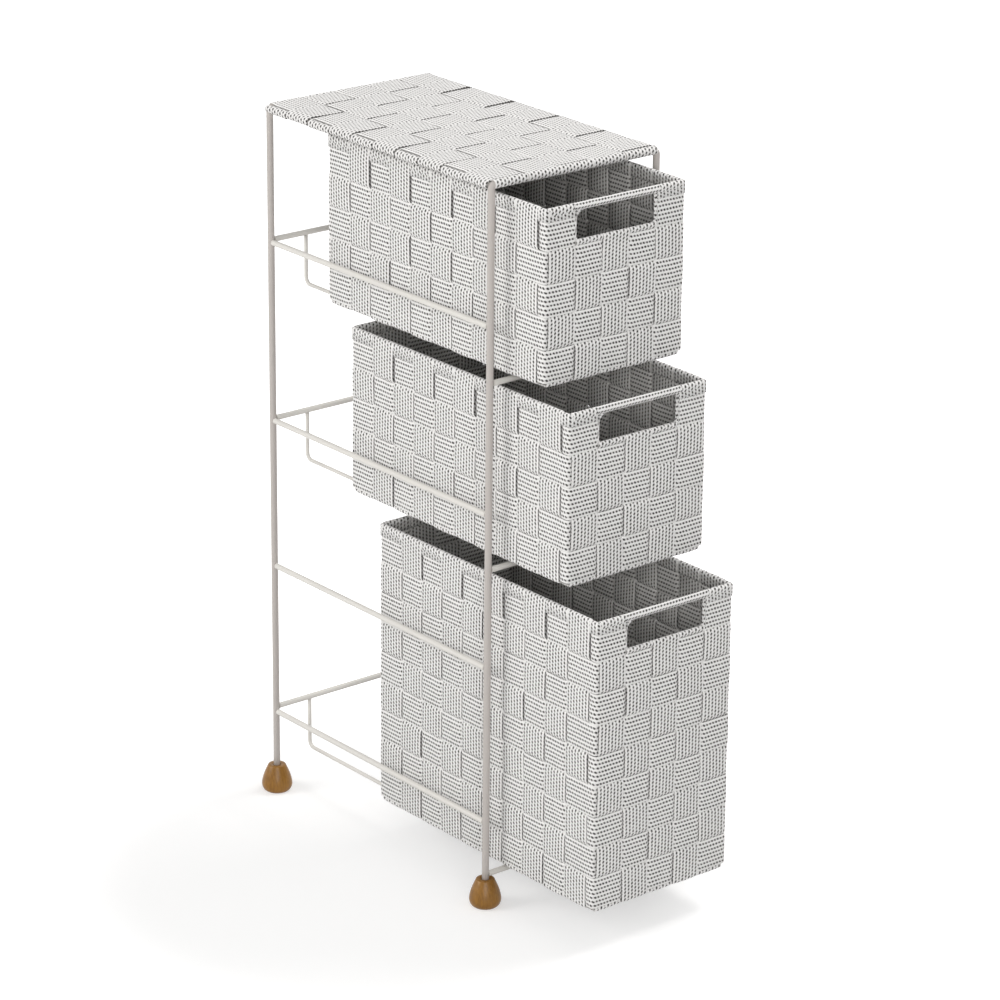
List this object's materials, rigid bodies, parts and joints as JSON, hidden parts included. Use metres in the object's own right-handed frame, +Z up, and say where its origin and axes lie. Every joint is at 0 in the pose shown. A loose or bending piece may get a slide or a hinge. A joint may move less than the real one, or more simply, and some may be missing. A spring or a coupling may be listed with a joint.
{
  "type": "bathroom storage tower",
  "caption": "Slim free-standing wire rack on wooden feet with a woven top and woven pull-out baskets that slide on wire cradles.",
  "frame": {"origin": "middle of the front left foot's flat underside", "axes": "+Z up, +X across the tower to the right, -Y the way the baskets slide out"},
  "size_m": [0.2014, 0.4396, 0.6381],
  "materials": {
    "ivory_wire": "ivory powder coat, satin",
    "woven_strap": "flat woven strap, off-white with dark grey flecks, dark grey on its reverse",
    "binding_tape": "the same strap folded over the rim and round the grip",
    "varnished_wood": "turned wood, clear satin varnish",
    "plain_steel": "plain flat steel, hidden"
  },
  "bodies": {
    "rack": {"front_hoop": "ivory_wire", "back_hoop": "ivory_wire", "top_wire_left": "ivory_wire", "top_wire_right": "ivory_wire", "guide_rail_left": "ivory_wire", "guide_rail_right": "ivory_wire", "wooden_feet": "varnished_wood", "top_cross_straps": "woven_strap", "top_long_straps": "woven_strap", "upper_side_rail_left": "ivory_wire", "upper_side_rail_right": "ivory_wire", "upper_back_rail": "ivory_wire", "upper_front_rail": "ivory_wire", "upper_runner_left": "ivory_wire", "upper_runner_right": "ivory_wire", "middle_side_rail_left": "ivory_wire", "middle_side_rail_right": "ivory_wire", "middle_back_rail": "ivory_wire", "middle_front_rail": "ivory_wire", "middle_runner_left": "ivory_wire", "middle_runner_right": "ivory_wire", "lower_side_rail_left": "ivory_wire", "lower_side_rail_right": "ivory_wire", "lower_back_rail": "ivory_wire", "lower_front_rail": "ivory_wire", "lower_runner_left": "ivory_wire", "lower_runner_right": "ivory_wire"},
    "upper_basket": {"upper_basket_outer_loops": "woven_strap", "upper_basket_inner_loops": "woven_strap", "upper_basket_long_straps": "woven_strap", "upper_basket_cross_straps": "woven_strap", "upper_basket_rim_strip": "plain_steel", "upper_basket_rim_binding": "binding_tape", "upper_basket_grip": "binding_tape", "upper_basket_slot_edging": "binding_tape"},
    "middle_basket": {"middle_basket_outer_loops": "woven_strap", "middle_basket_inner_loops": "woven_strap", "middle_basket_long_straps": "woven_strap", "middle_basket_cross_straps": "woven_strap", "middle_basket_rim_strip": "plain_steel", "middle_basket_rim_binding": "binding_tape", "middle_basket_grip": "binding_tape", "middle_basket_slot_edging": "binding_tape"},
    "lower_basket": {"lower_basket_outer_loops": "woven_strap", "lower_basket_inner_loops": "woven_strap", "lower_basket_long_straps": "woven_strap", "lower_basket_cross_straps": "woven_strap", "lower_basket_rim_strip": "plain_steel", "lower_basket_rim_binding": "binding_tape", "lower_basket_grip": "binding_tape", "lower_basket_slot_edging": "binding_tape"}
  },
  "joints": [
    {"name": "upper_slide", "type": "slide", "parent": "rack", "child": "upper_basket", "axis": [0, -1, 0], "range_m": [-0.0582, 0.0868]},
    {"name": "middle_slide", "type": "slide", "parent": "rack", "child": "middle_basket", "axis": [0, -1, 0], "range_m": [-0.0905, 0.0545]},
    {"name": "lower_slide", "type": "slide", "parent": "rack", "child": "lower_basket", "axis": [0, -1, 0], "range_m": [-0.13, 0.015]}
  ]
}
